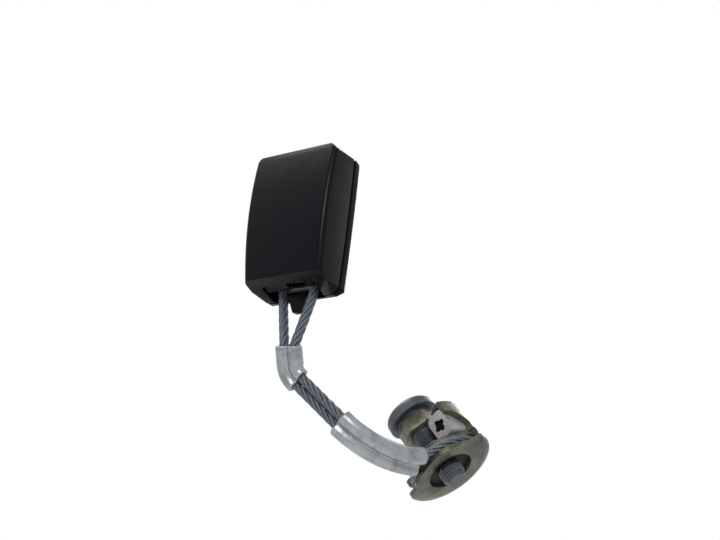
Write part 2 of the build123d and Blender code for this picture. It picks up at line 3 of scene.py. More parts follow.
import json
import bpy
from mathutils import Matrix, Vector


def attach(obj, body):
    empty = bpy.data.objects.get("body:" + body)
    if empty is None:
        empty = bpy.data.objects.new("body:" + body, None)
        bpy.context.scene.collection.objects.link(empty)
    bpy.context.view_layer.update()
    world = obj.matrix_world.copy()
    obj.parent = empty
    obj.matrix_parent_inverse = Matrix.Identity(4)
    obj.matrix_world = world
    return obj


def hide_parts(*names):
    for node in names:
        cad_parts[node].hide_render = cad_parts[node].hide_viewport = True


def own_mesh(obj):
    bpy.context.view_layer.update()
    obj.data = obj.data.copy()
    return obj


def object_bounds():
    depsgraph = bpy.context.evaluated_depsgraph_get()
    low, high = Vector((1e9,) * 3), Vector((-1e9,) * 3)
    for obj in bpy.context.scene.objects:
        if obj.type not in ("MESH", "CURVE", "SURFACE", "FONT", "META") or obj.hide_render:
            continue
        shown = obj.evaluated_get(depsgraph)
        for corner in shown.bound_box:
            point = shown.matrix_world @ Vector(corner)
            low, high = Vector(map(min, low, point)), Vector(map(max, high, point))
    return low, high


bl_info = {
    "name": "Seat Belt Buckle",
    "version": (1, 0, 0),
    "blender": (4, 5, 0),
    "location": "View3D > Sidebar > Buckle",
    "description": "Dresses a seat belt buckle on its wire rope stalk and sets its stage",
    "category": "Object",
}

from math import acos, atan2, cos, hypot, pi, radians, sin, sqrt, tan

import bmesh
import bpy
from bpy.props import FloatProperty, FloatVectorProperty, IntProperty, PointerProperty
from mathutils import Euler, Matrix, Vector

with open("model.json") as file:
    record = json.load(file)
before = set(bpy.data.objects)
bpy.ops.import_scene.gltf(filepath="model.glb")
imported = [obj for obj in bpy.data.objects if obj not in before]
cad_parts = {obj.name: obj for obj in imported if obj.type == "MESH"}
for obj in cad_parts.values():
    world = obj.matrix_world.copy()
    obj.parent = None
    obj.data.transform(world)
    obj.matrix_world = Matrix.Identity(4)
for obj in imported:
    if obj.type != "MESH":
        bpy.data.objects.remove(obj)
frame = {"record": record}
solid_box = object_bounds()

MM = 0.001

# The rope's route, in millimetres, as the solids have it
ROPE_RADIUS = 2.2
SADDLE_RADIUS = 8.9
SADDLE_HEIGHT = 9.0
SADDLE_CORNER = 3.6
SADDLE_FALL = 4.0
LEG_DEPTH = -0.5
LEG_TOP = 4.0
LEG_MOUTH = -3.0
PAIR_OFFSET = 2.4
MOUTH_SHARE = 0.14
SLEEVE_BEND = radians(69.57)
SLEEVE_BEND_RADIUS = 33.3
STALK_RUN = 30.2
STALK_LEAD = 5.0
STALK_END = 26.0
FERRULE_RISE = Vector((1.05, -4.55, 9.7))
HOUSING_RISE = Vector((0.8, -1.0, 39.3))

# The rope's ends inside the ferrule, and its strands
ROPE_BREAK = 2.2
ROPE_GAP = 0.4
ROPE_END = 2.0
ROPE_STEP = 0.8
STRAND_SWELL = 1.02

# Ferrule and sleeve, in millimetres: a section is a lobe's radius and the waist's half depth
FERRULE_LEAD = 1.5
FERRULE_TRAIL = 5.3
FERRULE_BEND_RADIUS = 9.0
FERRULE_SECTION = (3.88, 2.3)
SLEEVE_SECTION = (4.18, 2.5)
TUBE_BORE = (2.26, 1.2)
TUBE_STEP = 0.4
TUBE_LIP = 0.9
BORE_START = 0.3
SLEEVE_START = 21.0
SLEEVE_FOOT = 18.3
SLEEVE_FLARE = 0.9
FLARE_RUN = 9.0

# Anchor, in millimetres, with Z along the bolt and the seat at zero
BOLT_LEAN = radians(40.3)
BOLT_SWING = radians(2.83)
STALK_SIDE = Vector((-0.155, -0.973, -0.172))
ROPE_PLANE = -4.3
THIMBLE_BEND = 15.0
LEG_SPLIT = 18.4
LEG_SPREAD = 1.7

# Bolt
BOLT_RADIUS = 5.556
BOLT_TIP = 5.6
THREAD_PITCH = 1.27
THREAD_DEPTH = 0.62
THREAD_START = 22.6
THREAD_CORE = BOLT_RADIUS - THREAD_DEPTH
THREAD_ROOT = THREAD_CORE - 0.15
THREAD_CREST = BOLT_RADIUS - 0.03
THREAD_RUN_IN = 0.2
SHANK_RADIUS = BOLT_RADIUS - 0.02
TIP_DOG = 1.4
DOG_RADIUS = THREAD_CORE - 0.6
DOG_CHAMFER = 0.4
GROOVE_FRONT = 1.6
GROOVE_BACK = 3.6
GROOVE_RADIUS = 4.8
COLLAR_RADIUS = 8.2
COLLAR_THICK = 1.6
CAP_RADIUS = 12.0
CAP_THICK = 5.8
CAP_ROUND = 2.6
CAP_FRONT = 31.2
DIMPLE_RADIUS = 5.0
DIMPLE_DEPTH = 0.25

# The thimble's rims: past its start, a rim keeps its share of the reach on the rope's side
SEAT_RADIUS = 17.0
RIM_START = 15.6
RIM_SHARE = 0.25
REAR_RIM_START = 13.4
REAR_RIM_SHARE = 0.3
RIM_WAY = radians(-20)
RIM_WIDTH = 2.2
RIM_FALL = 0.43
RIM_PARTING = -5.2
# Bare metal at the outer rims, between these radii: partly wear and partly a painted highlight for
# the light that the rims catch
RIM_WEAR_AND_HIGHLIGHT = (19.4, 20.8)

# Block: its middle and half size are across the anchor's X
BLOCK_MIDDLE = (-12.3, -15.2)
BLOCK_HALF = (4.9, 6.4)
BLOCK_SPAN = (-4.0, 6.0)
BLOCK_SQUARE = 4.5
BLOCK_EDGE = 0.4
RECESS_DEPTH = 1.6
RECESS_REACH = 2.75
RECESS_LOBES = 0.5
RECESS_TURN = 1.2
RECESS_RAGGED = 0.15
RECESS_BOUNDS = (4.6, 5.2)

# Bracket: the strap's edge lines are pairs of a place across and a height
PLATE_FRONT = -8.6
PLATE_REAR = -11.4
PLATE_BORE = 6.4
PLATE_WALL = 1.2
PLATE_COLLAR = 10.6
PLATE_END = 5.0
PLATE_STEP = -4.2
PLATE_FOOT = 7.2
STRAP_OUTER = 20.2
STRAP_INNER = 17.4
STRAP_CHAMFER = 0.9
STRAP_ENDS = (147.0, 71.0)
STRAP_FRONT_EDGE = ((-21, -8.6), (-9, -8.6), (-5, -12.0), (0, -15.6), (3, -17.2), (12, -17.8))
STRAP_REAR_EDGE = ((-21, -11.4), (-17, -11.4), (-12, -16.4), (-7, -21.6), (-3, -24), (12, -24))
ROOF_THICK = 1.4
ROOF_TIP = 11.2
ROOF_START = -4.0
ROOF_RUN = 6.0

# Colours of the pieces that have no setting of their own
ZINC = (0.5, 0.51, 0.52)
ZINC_TINT = (0.58, 0.57, 0.52)
SPRING_STEEL = (0.42, 0.43, 0.45)
BLOCK_PALE = (0.3, 0.29, 0.3)
BLOCK_TINT = (0.4, 0.37, 0.37)
# Painted shade: the block recess's near-black colour, speckled between these two, stands in for the
# shadow inside the recess
RECESS_SHADE = (0.004, 0.004, 0.005)
RECESS_SHADE_SPECKLE = (0.02, 0.02, 0.022)
WASHER_BLACK = (0.006, 0.006, 0.008)
NUT_OLIVE = (0.11, 0.105, 0.075)
NUT_TINT = (0.2, 0.19, 0.15)

# Stage, in metres and degrees: lamps are placed from the object's middle
FLOOR_HEIGHT = -0.36
FLOOR_SIZE = 6.0
FLOOR_PAINT = (0.86, 0.86, 0.86)
FLOOR_GLOW = (0.42, 0.42, 0.42)
WORLD_LIGHT = 0.32
KEY_PLACE = (-0.6, -0.3, 1.05)
KEY_SIZE = 0.55
FILL_PLACE = (0.6, -0.88, 0.46)
FILL_SIZE = 0.16
BACK_PLACE = (-0.2, 0.9, 0.6)
BACK_SIZE = 0.5
BACK_SHARE = 0.7
CAMERA_PLACE = (0.31004, -0.49629, -0.12753)
CAMERA_TURN = (110.52, -5.08, 34.80)


# ---- places ----


def anchor_matrix():
    """The anchor's own frame in metres: Z along the bolt to its tip, X towards the stalk."""
    across = sin(BOLT_LEAN)
    way = Vector((across * cos(BOLT_SWING), across * sin(BOLT_SWING), -cos(BOLT_LEAN)))
    side = (STALK_SIDE - way * STALK_SIDE.dot(way)).normalized()
    turned = way.cross(side)
    matrix = Matrix((side, turned, way)).transposed().to_4x4()
    return matrix @ Matrix.Scale(MM, 4)


ANCHOR = anchor_matrix()


def at_anchor(x, y, z):
    """A point of the anchor's own frame, in metres of the row frame."""
    return ANCHOR @ Vector((x, y, z))


def anchor_way(x, y, z):
    """A direction of the anchor's own frame, in the row frame."""
    return (ANCHOR.to_3x3() @ Vector((x, y, z))).normalized()


STALK_WAY = anchor_way(cos(SLEEVE_BEND), 0, -sin(SLEEVE_BEND))
PAIR_WAY = anchor_way(0, 1, 0)
SLEEVE_TOP = at_anchor(
    SLEEVE_START + SLEEVE_BEND_RADIUS * sin(SLEEVE_BEND),
    0,
    ROPE_PLANE - SLEEVE_BEND_RADIUS * (1 - cos(SLEEVE_BEND)),
)
FERRULE_BEND = SLEEVE_TOP + STALK_WAY * STALK_RUN * MM
FERRULE_TOP = FERRULE_BEND + FERRULE_RISE * MM
HOUSING = FERRULE_BEND + HOUSING_RISE * MM


def at_housing(x, y, z):
    """A point of the housing's own frame in millimetres, in metres of the row frame."""
    return HOUSING + Vector((x, y, z)) * MM


# ---- shader nodes ----


class Signal:
    """A shader socket that takes part in Python expressions."""

    def __init__(self, nodes, socket):
        self.nodes = nodes
        self.socket = socket

    def math(self, operation, first, second):
        """One operation on two values, each of them a signal or a number."""
        values = {0: first, 1: second}
        return self.nodes.node("ShaderNodeMath", {"operation": operation}, values)

    def output(self, name):
        """Another output of the same node."""
        return Signal(self.nodes, self.socket.node.outputs[name])

    def __add__(self, other):
        return self.math("ADD", self, other)

    def __sub__(self, other):
        return self.math("SUBTRACT", self, other)

    def __mul__(self, other):
        return self.math("MULTIPLY", self, other)

    def __truediv__(self, other):
        return self.math("DIVIDE", self, other)

    def __rsub__(self, other):
        return self.math("SUBTRACT", other, self)

    def __rtruediv__(self, other):
        return self.math("DIVIDE", other, self)

    __radd__ = __add__
    __rmul__ = __mul__

    def most(self, other):
        """The larger of two values."""
        return self.math("MAXIMUM", self, other)


class Nodes:
    """A node tree whose nodes are all added by one method."""

    def __init__(self, tree):
        self.tree = tree

    def join(self, socket, value):
        """Links a signal to a socket, or writes a plain value into it."""
        if isinstance(value, Signal):
            self.tree.links.new(value.socket, socket)
        else:
            socket.default_value = value

    def node(self, kind, settings, values, output=0):
        """Adds a node with its settings and its sockets, and returns one output."""
        node = self.tree.nodes.new(kind)
        for name, value in settings.items():
            setattr(node, name, value)
        for name, value in values.items():
            self.join(node.inputs[name], value)
        return Signal(self, node.outputs[output])

    def seen(self):
        """One for rays from the camera, from a reflection or through glass, and zero for others."""
        camera = self.node("ShaderNodeLightPath", {}, {}, "Is Camera Ray")
        shown = camera.most(camera.output("Is Glossy Ray"))
        return shown.most(camera.output("Is Transmission Ray"))


class Finish(Nodes):
    """A material and the nodes that make it."""

    def __init__(self, name, colour, rough, metal=0.0, specular=0.5):
        self.material = bpy.data.materials.new(name)
        self.material.use_nodes = True
        super().__init__(self.material.node_tree)
        self.shader = self.tree.nodes["Principled BSDF"]
        self.material.diffuse_color = (*colour, 1.0)
        self.set("Base Color", (*colour, 1.0))
        self.set("Roughness", rough)
        self.set("Metallic", metal)
        self.set("Specular IOR Level", specular)

    def set(self, name, value):
        """Sets or links one input of the surface's shader."""
        self.join(self.shader.inputs[name], value)

    def coordinates(self):
        """The piece's own coordinates."""
        return self.node("ShaderNodeTexCoord", {}, {}, "Object")

    def mapped(self, vector, **values):
        """A vector that is moved, turned or scaled."""
        values = {"Vector": vector, **values}
        return self.node("ShaderNodeMapping", {"vector_type": "POINT"}, values, "Vector")

    def turned(self):
        """Object coordinates in the anchor's own frame, in metres."""
        flat = ANCHOR.normalized().inverted()
        return self.mapped(self.coordinates(), Location=flat.translation, Rotation=flat.to_euler())

    def noise(self, vector, scale, detail=4.0, rough=0.5):
        """Noise, with its scale in spots per metre."""
        values = {"Vector": vector, "Scale": scale, "Detail": detail, "Roughness": rough}
        return self.node("ShaderNodeTexNoise", {}, values, "Fac")

    def radius(self):
        """The distance from the bolt's axis, in metres."""
        flat = self.mapped(self.turned(), Scale=(1.0, 1.0, 0.0))
        return self.node("ShaderNodeVectorMath", {"operation": "LENGTH"}, {0: flat}, "Value")

    def along(self, way):
        """The distance along one direction of the anchor's frame, in metres."""
        values = {0: self.turned(), 1: way}
        return self.node("ShaderNodeVectorMath", {"operation": "DOT_PRODUCT"}, values, "Value")

    def away(self, point):
        """The distance from a point of the anchor's frame, in metres."""
        values = {0: self.turned(), 1: point}
        return self.node("ShaderNodeVectorMath", {"operation": "DISTANCE"}, values, "Value")

    def ramp(self, value, low, high):
        """A smooth step from 0 at low to 1 at high."""
        settings = {"interpolation_type": "SMOOTHSTEP"}
        values = {"Value": value, "From Min": low, "From Max": high}
        return self.node("ShaderNodeMapRange", settings, values, "Result")

    def mix(self, share, first, second):
        """One colour mixed into another."""
        colours = [c if isinstance(c, Signal) else (*c, 1.0) for c in (first, second)]
        values = {"Factor": share, 6: colours[0], 7: colours[1]}
        return self.node("ShaderNodeMix", {"data_type": "RGBA"}, values, 2)

    def bump(self, height, depth):
        """A bump of the given depth in metres that feeds the shader's normal."""
        values = {"Height": height, "Distance": depth}
        self.set("Normal", self.node("ShaderNodeBump", {}, values, "Normal"))


def moulded_plastic(name, colour, rough, grain, specular=0.3):
    """Moulded plastic with a fine grain, faint flow marks and rubbed patches."""
    finish = Finish(name, colour, rough, specular=specular)
    place = finish.coordinates()
    cloud = finish.noise(place, 90.0, 3.0)
    fine = finish.noise(place, 2600.0, 2.0, 0.6)
    rubbed = finish.ramp(finish.noise(place, 45.0, 6.0, 0.7), 0.52, 0.72)
    lighter = [min(1.0, part * 1.25 + 0.0006) for part in colour]
    tone = finish.mix(cloud * 0.55, colour, lighter)
    worn = [part * 1.2 + 0.001 for part in lighter]
    finish.set("Base Color", finish.mix(rubbed * 0.35, tone, worn))
    finish.set("Roughness", rough + (fine - 0.5) * 0.16 - rubbed * 0.08)
    finish.bump(fine, grain)
    return finish.material


def plated_steel(name, colour, tint, rough, wear=0.3, rim=None):
    """Plated steel: a clouded tint, fine pits, and scuffs down to the metal.

    Wear is how strongly the scuffs show; a rim gives the radii in millimetres between which more of
    them appear, as bare metal that is partly wear and partly a painted highlight along the rim.
    """
    finish = Finish(name, colour, rough, metal=0.45, specular=0.3)
    place = finish.coordinates()
    cloud = finish.ramp(finish.noise(place, 140.0, 5.0, 0.6), 0.38, 0.64)
    spots = finish.ramp(finish.noise(place, 900.0, 3.0, 0.6), 0.55, 0.72)
    scuff = finish.ramp(finish.noise(place, 320.0, 8.0, 0.75), 0.58, 0.66) * wear
    # Near the rim the scuffs are partly worn metal and partly a painted highlight: a bare colour that
    # stands in for the light the rim catches
    if rim:
        worn = finish.ramp(finish.noise(place, 240.0, 6.0, 0.7), 0.5, 0.62)
        edge = finish.ramp(finish.radius(), rim[0] * MM, rim[1] * MM)
        scuff = scuff.most(edge * worn * 0.8)
    bare = [min(1.0, part * 1.6 + 0.2) for part in colour]
    tone = finish.mix(cloud, colour, tint)
    tone = finish.mix(spots * 0.4, tone, [part * 0.4 for part in colour])
    finish.set("Base Color", finish.mix(scuff, tone, bare))
    finish.set("Roughness", rough + cloud * 0.1 + spots * 0.14 - scuff * 0.08)
    finish.bump(finish.noise(place, 1500.0, 3.0, 0.6), depth=0.00006)
    return finish.material


def block_steel(colour, tint):
    """Pale plated steel; the rough recess in the end of the block carries painted shade, a near-black
    colour for its shadow.
    """
    finish = Finish("pale plated steel", colour, 0.42, specular=0.2)
    place = finish.coordinates()
    cloud = finish.ramp(finish.noise(place, 190.0, 5.0, 0.6), 0.35, 0.68)
    front = BLOCK_SPAN[1]
    rim = front - BLOCK_EDGE
    # Painted shade in the recess: below the rim and near the recess floor, the colour turns near
    # black, speckled by noise, for the shadow that falls there
    above = finish.ramp(finish.along((1, 0, 0)), rim * MM, (front - BLOCK_EDGE / 4) * MM)
    floor = [part * MM for part in (front - RECESS_DEPTH, *BLOCK_MIDDLE)]
    outside = finish.ramp(finish.away(floor), *[bound * MM for bound in RECESS_BOUNDS])
    tone = finish.mix(cloud, colour, tint)
    rough = finish.noise(place, 900.0, 6.0, 0.7)
    # dark is the recess's painted shade: near black, with lighter specks
    dark = finish.mix(finish.ramp(rough, 0.5, 0.7), RECESS_SHADE, RECESS_SHADE_SPECKLE)
    plain = above.most(outside)
    finish.set("Base Color", finish.mix(plain, dark, tone))
    finish.set("Metallic", plain * 0.35)
    finish.set("Roughness", 0.9 - plain * 0.5 + cloud * 0.1)
    finish.bump(rough, depth=0.00006)
    return finish.material


def swaged_metal(name, colour, rough):
    """Pressed metal with die lines along the piece, dull patches and small scratches."""
    finish = Finish(name, colour, rough, metal=0.4)
    place = finish.coordinates()
    stretched = finish.mapped(finish.turned(), Scale=(0.12, 1.0, 0.12))
    lines = finish.noise(stretched, 2400.0, 3.0, 0.6)
    dull = finish.ramp(finish.noise(place, 120.0, 6.0, 0.65), 0.42, 0.7)
    nick = finish.ramp(finish.noise(place, 520.0, 9.0, 0.8), 0.62, 0.68)
    tone = finish.mix(dull * 0.8, colour, [part * 0.5 for part in colour])
    finish.set("Base Color", finish.mix(nick * 0.45, tone, [part * 0.35 for part in colour]))
    finish.set("Roughness", rough + dull * 0.16 + (lines - 0.5) * 0.1)
    finish.bump(lines * 0.5 - nick * 0.8, depth=0.00008)
    return finish.material


def drawn_wire(name, colour, rough):
    """Galvanised wire: a dull zinc bloom, dark grime and a rough skin."""
    finish = Finish(name, colour, rough, metal=0.4)
    place = finish.coordinates()
    bloom = finish.ramp(finish.noise(place, 260.0, 5.0, 0.7), 0.4, 0.66)
    grime = finish.ramp(finish.noise(place, 700.0, 4.0, 0.6), 0.55, 0.7)
    tone = finish.mix(bloom * 0.6, colour, [min(1.0, part * 1.35 + 0.03) for part in colour])
    finish.set("Base Color", finish.mix(grime * 0.5, tone, [part * 0.35 for part in colour]))
    finish.set("Roughness", rough + bloom * 0.15)
    finish.bump(finish.noise(place, 2600.0, 2.0), depth=0.00016)
    return finish.material


# ---- mesh tools ----


def paint(mesh, material):
    """Gives a mesh its one material."""
    mesh.materials.clear()
    mesh.materials.append(material)


def dress(node, material):
    """Gives a solid its material."""
    paint(bpy.data.objects[node].data, material)


def body_of(node):
    """The body that a solid rides on."""
    for body, nodes in frame["record"]["behaviour"]["bodies"].items():
        if node in nodes:
            return body
    raise ValueError(f"no body holds {node}")


def stand_in(name, node, mesh, material):
    """Adds a mesh as the piece that is shown for a solid, on the same body."""
    piece = bpy.data.objects.new(name, mesh)
    bpy.context.scene.collection.objects.link(piece)
    paint(mesh, material)
    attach(piece, body_of(node))
    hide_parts(node)
    return piece


def rounded(piece, width, segments=3, angle=40.0):
    """Rounds a piece's sharp edges."""
    rounding = piece.modifiers.new("Rounded edges", "BEVEL")
    rounding.width = width
    rounding.segments = segments
    rounding.limit_method = "ANGLE"
    rounding.angle_limit = radians(angle)
    rounding.use_clamp_overlap = True
    rounding.harden_normals = True


def softened(node, material, edge, segments=2, change=None):
    """Shows a solid by a copy with merged facets and rounded edges, changed on the way if asked."""
    mesh = bpy.data.objects[node].data.copy()
    shape = bmesh.new()
    shape.from_mesh(mesh)
    bmesh.ops.remove_doubles(shape, verts=shape.verts, dist=0.000004)
    bmesh.ops.dissolve_limit(
        shape,
        angle_limit=radians(0.6),
        verts=shape.verts,
        edges=shape.edges,
        delimit={"NORMAL"},
    )
    for face in shape.faces:
        face.smooth = True
    shape.to_mesh(mesh)
    shape.free()
    if change:
        change(mesh)
    rounded(stand_in(f"{node}_skin", node, mesh, material), edge, segments, 32.0)


def sprung(node, material):
    """Shows a spring's solid by a smooth-shaded copy with a mesh of its own."""
    mesh = bpy.data.objects[node].data.copy()
    for polygon in mesh.polygons:
        polygon.use_smooth = True
    piece = stand_in(f"{node}_coil", node, mesh, material)
    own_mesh(piece)


def lathe(shape, profile, steps=96):
    """Spins a profile of radius and height about Z, in millimetres, into a bmesh."""
    verts = [shape.verts.new((radius, 0.0, height)) for radius, height in profile]
    edges = [shape.edges.new(pair) for pair in zip(verts, verts[1:])]
    bmesh.ops.spin(
        shape,
        geom=verts + edges,
        cent=(0, 0, 0),
        axis=(0, 0, 1),
        angle=2 * pi,
        steps=steps,
        use_merge=True,
    )


def settle(shape, matrix, name, merge=0.002):
    """Merges a bmesh's points, turns its faces outwards, places it and returns its mesh."""
    bmesh.ops.remove_doubles(shape, verts=shape.verts, dist=merge)
    bmesh.ops.recalc_face_normals(shape, faces=shape.faces)
    bmesh.ops.transform(shape, matrix=matrix, verts=shape.verts)
    for face in shape.faces:
        face.smooth = True
    mesh = bpy.data.meshes.new(name)
    shape.to_mesh(mesh)
    shape.free()
    mesh.set_sharp_from_angle(angle=radians(35))
    return mesh


def turns_of(steps, start=0.0):
    """Evenly spaced angles once round, the first of them a share of a step on."""
    return [2 * pi * (i + start) / steps for i in range(steps)]


def eased(share):
    """A share held between 0 and 1, with a smooth start and end."""
    share = min(max(share, 0.0), 1.0)
    return share * share * (3 - 2 * share)


def joined_loops(name, loops, closed):
    """A mesh of loops in the anchor's frame, each joined to the next point by point.

    A closed run joins its last loop to its first; an open run has its two ends filled.
    """
    shape = bmesh.new()
    rings = [[shape.verts.new(point) for point in loop] for loop in loops]
    pairs = list(zip(rings, rings[1:]))
    if closed:
        pairs.append((rings[-1], rings[0]))
    for first, second in pairs:
        for i in range(len(first)):
            shape.faces.new((first[i - 1], first[i], second[i], second[i - 1]))
    if not closed:
        shape.faces.new(rings[0])
        shape.faces.new(rings[-1])
    return settle(shape, ANCHOR, name)


def curve_mesh(curve, name):
    """The mesh of a curve."""
    holder = bpy.data.objects.new(name, curve)
    mesh = bpy.data.meshes.new_from_object(holder)
    bpy.data.objects.remove(holder)
    for polygon in mesh.polygons:
        polygon.use_smooth = True
    return mesh


# ---- bracket, block and thimble ----


def level(edge, across):
    """The height of an edge line at a place across."""
    for (x0, z0), (x1, z1) in zip(edge, edge[1:]):
        if across <= x1:
            return z0 + (z1 - z0) * (across - x0) / (x1 - x0)
    return edge[-1][1]


def smooth_level(edge, across):
    """The height of an edge line with its corners rounded."""
    spread = (-2.0, -1.0, 0.0, 1.0, 2.0)
    return sum(level(edge, across + step) for step in spread) / len(spread)


def strap_loops():
    """The sections of the strap that climbs round the bracket's side and curls over the block."""
    steps = 44
    loops = []
    for i in range(steps + 1):
        angle = radians(STRAP_ENDS[0] + (STRAP_ENDS[1] - STRAP_ENDS[0]) * i / steps)
        across = STRAP_OUTER * cos(angle)
        low = smooth_level(STRAP_FRONT_EDGE, across)
        high = smooth_level(STRAP_REAR_EDGE, across)
        roof = eased((across - ROOF_START) / ROOF_RUN)
        tip = STRAP_INNER - (STRAP_INNER - ROOF_TIP) * roof
        section = (
            (STRAP_OUTER, low),
            (STRAP_OUTER, high + STRAP_CHAMFER),
            (STRAP_OUTER - STRAP_CHAMFER, high),
            (tip, high),
            (tip, high + ROOF_THICK),
            (STRAP_INNER, high + ROOF_THICK),
            (STRAP_INNER, low),
        )
        loops.append([(r * cos(angle), -r * sin(angle), z) for r, z in section])
    return loops


def plate_loops():
    """The loops of the bracket's plate, cut straight past the block and under it."""
    turns = turns_of(120)
    outer = []
    for turn in turns:
        reach = STRAP_OUTER
        if reach * cos(turn) > PLATE_END:
            reach = max(PLATE_COLLAR, PLATE_END / cos(turn))
        if sin(turn) < 0 and reach * cos(turn) > PLATE_STEP:
            reach = min(reach, max(PLATE_BORE + PLATE_WALL, -PLATE_FOOT / sin(turn)))
        outer.append((reach * cos(turn), reach * sin(turn)))
    inner = [(PLATE_BORE * cos(turn), PLATE_BORE * sin(turn)) for turn in turns]
    heights = ((outer, PLATE_FRONT), (outer, PLATE_REAR), (inner, PLATE_REAR), (inner, PLATE_FRONT))
    return [[(x, y, z) for x, y in outline] for outline, z in heights]


def block_loops():
    """The loops of the rounded block, down to the floor of the lobed recess in its end."""
    back, front = BLOCK_SPAN
    turns = turns_of(96, 0.5)
    outline = []
    recess = []
    for turn in turns:
        shares = [abs(way) / half for way, half in zip((cos(turn), sin(turn)), BLOCK_HALF)]
        outline.append(sum(share**BLOCK_SQUARE for share in shares) ** (-1 / BLOCK_SQUARE))
        lobes = RECESS_LOBES * cos(4 * turn - RECESS_TURN) + RECESS_RAGGED * sin(9 * turn)
        recess.append(RECESS_REACH + lobes)
    loops = []
    for x, reaches, grow in (
        (back, outline, 1.0),
        (front - BLOCK_EDGE, outline, 1.0),
        (front - BLOCK_EDGE / 4, outline, 0.97),
        (front, outline, 0.93),
        (front, recess, 1.0),
        (front - RECESS_DEPTH, recess, 0.92),
    ):
        ways = [(reach * grow * cos(t), reach * grow * sin(t)) for reach, t in zip(reaches, turns)]
        loops.append([(x, BLOCK_MIDDLE[0] + y, BLOCK_MIDDLE[1] + z) for y, z in ways])
    return loops


def trim_rim(mesh):
    """Draws both flanges' rims in on the side where the rope shows past them."""
    flat = ANCHOR.inverted()
    for vert in mesh.vertices:
        place = flat @ vert.co
        out = hypot(place.x, place.y)
        front = place.z > RIM_PARTING
        start = RIM_START if front else REAR_RIM_START
        share = RIM_SHARE if front else REAR_RIM_SHARE
        if out > start:
            near = eased(cos(atan2(place.y, place.x) - RIM_WAY) * RIM_WIDTH)
            kept = start + (out - start) * (1 - (1 - share) * near)
            place.x *= kept / out
            place.y *= kept / out
            if front:
                place.z += (max(out - SEAT_RADIUS, 0) - max(kept - SEAT_RADIUS, 0)) * RIM_FALL
            vert.co = ANCHOR @ place


# ---- pressed tubes ----


def bent_line(first, corner, last, radius):
    """Two straight runs joined by an arc, as closely spaced points."""
    way_in = (corner - first).normalized()
    way_out = (last - corner).normalized()
    turn = way_in.angle(way_out)
    start = corner - way_in * radius * tan(turn / 2)
    centre = corner + (way_out - way_in).normalized() * radius / cos(turn / 2)
    axis = way_in.cross(way_out)
    steps = 32
    turns = [Matrix.Rotation(turn * i / steps, 3, axis) for i in range(steps + 1)]
    return [first] + [centre + turned @ (start - centre) for turned in turns] + [last]


def sleeve_line():
    """The middle of the long sleeve, from the thimble to its top."""
    points = [at_anchor(SLEEVE_FOOT, 0, ROPE_PLANE)]
    steps = 64
    for i in range(steps + 1):
        angle = SLEEVE_BEND * i / steps
        fall = SLEEVE_BEND_RADIUS * (1 - cos(angle))
        across = SLEEVE_START + SLEEVE_BEND_RADIUS * sin(angle)
        points.append(at_anchor(across, 0, ROPE_PLANE - fall))
    return points


def lobed_ring(shape, middle, side, deep, offset, lobe, waist):
    """Adds one two-lobed ring of edges in the plane of two directions, sizes in millimetres."""
    verts = []
    for turn in turns_of(72, 0.5):
        across = (offset + lobe) * cos(turn)
        past = abs(across) - offset
        if past >= 0:
            depth = sqrt(max(lobe * lobe - past * past, 0.0))
        else:
            depth = waist + (lobe - waist) * (1 - cos(pi * across / offset)) / 2
        if sin(turn) < 0:
            depth = -depth
        verts.append(shape.verts.new(middle + (side * across + deep * depth) * MM))
    return [shape.edges.new(pair) for pair in zip(verts, verts[1:] + verts[:1])]


def tube_stations(length):
    """Where a tube's rings stand along it, and how much of its wall each one has.

    They run up one lip, along the outside, down the other lip and back through the bore.
    """
    lip_steps = 5
    body_steps = 56
    stations = []
    for i in range(lip_steps):
        angle = pi / 2 * i / lip_steps
        stations.append((TUBE_LIP * (1 - cos(angle)), 1 - 0.5 * (1 - sin(angle))))
    run = length - 2 * TUBE_LIP
    stations += [(TUBE_LIP + run * i / body_steps, 1.0) for i in range(body_steps + 1)]
    stations += [(length - distance, share) for distance, share in stations[lip_steps - 1 :: -1]]
    return stations + [(length - BORE_START, 0.0), (length / 2, 0.0), (BORE_START, 0.0)]


def pressed_tube(name, line, section, flare=0.0):
    """A closed two-lobed tube round a pair of legs, with rounded lips, as a mesh."""
    places = evened(line, TUBE_STEP * MM)
    sides = carried_sides(places, -PAIR_WAY)
    shape = bmesh.new()
    rings = []
    for distance, share in tube_stations((len(places) - 1) * TUBE_STEP):
        index = min(int(distance / TUBE_STEP), len(places) - 2)
        middle = places[index].lerp(places[index + 1], distance / TUBE_STEP - index)
        across, deep = sides[index]
        spread = PAIR_OFFSET + flare * max(0.0, 1 - distance / FLARE_RUN) ** 2
        lobe, waist = (low + (high - low) * share for low, high in zip(TUBE_BORE, section))
        rings.append(lobed_ring(shape, middle, across, deep, spread, lobe, waist))
    for first, second in zip(rings, rings[1:] + rings[:1]):
        bmesh.ops.bridge_loops(shape, edges=first + second)
    return settle(shape, Matrix.Identity(4), name, 0.0000001)


# ---- bolt ----


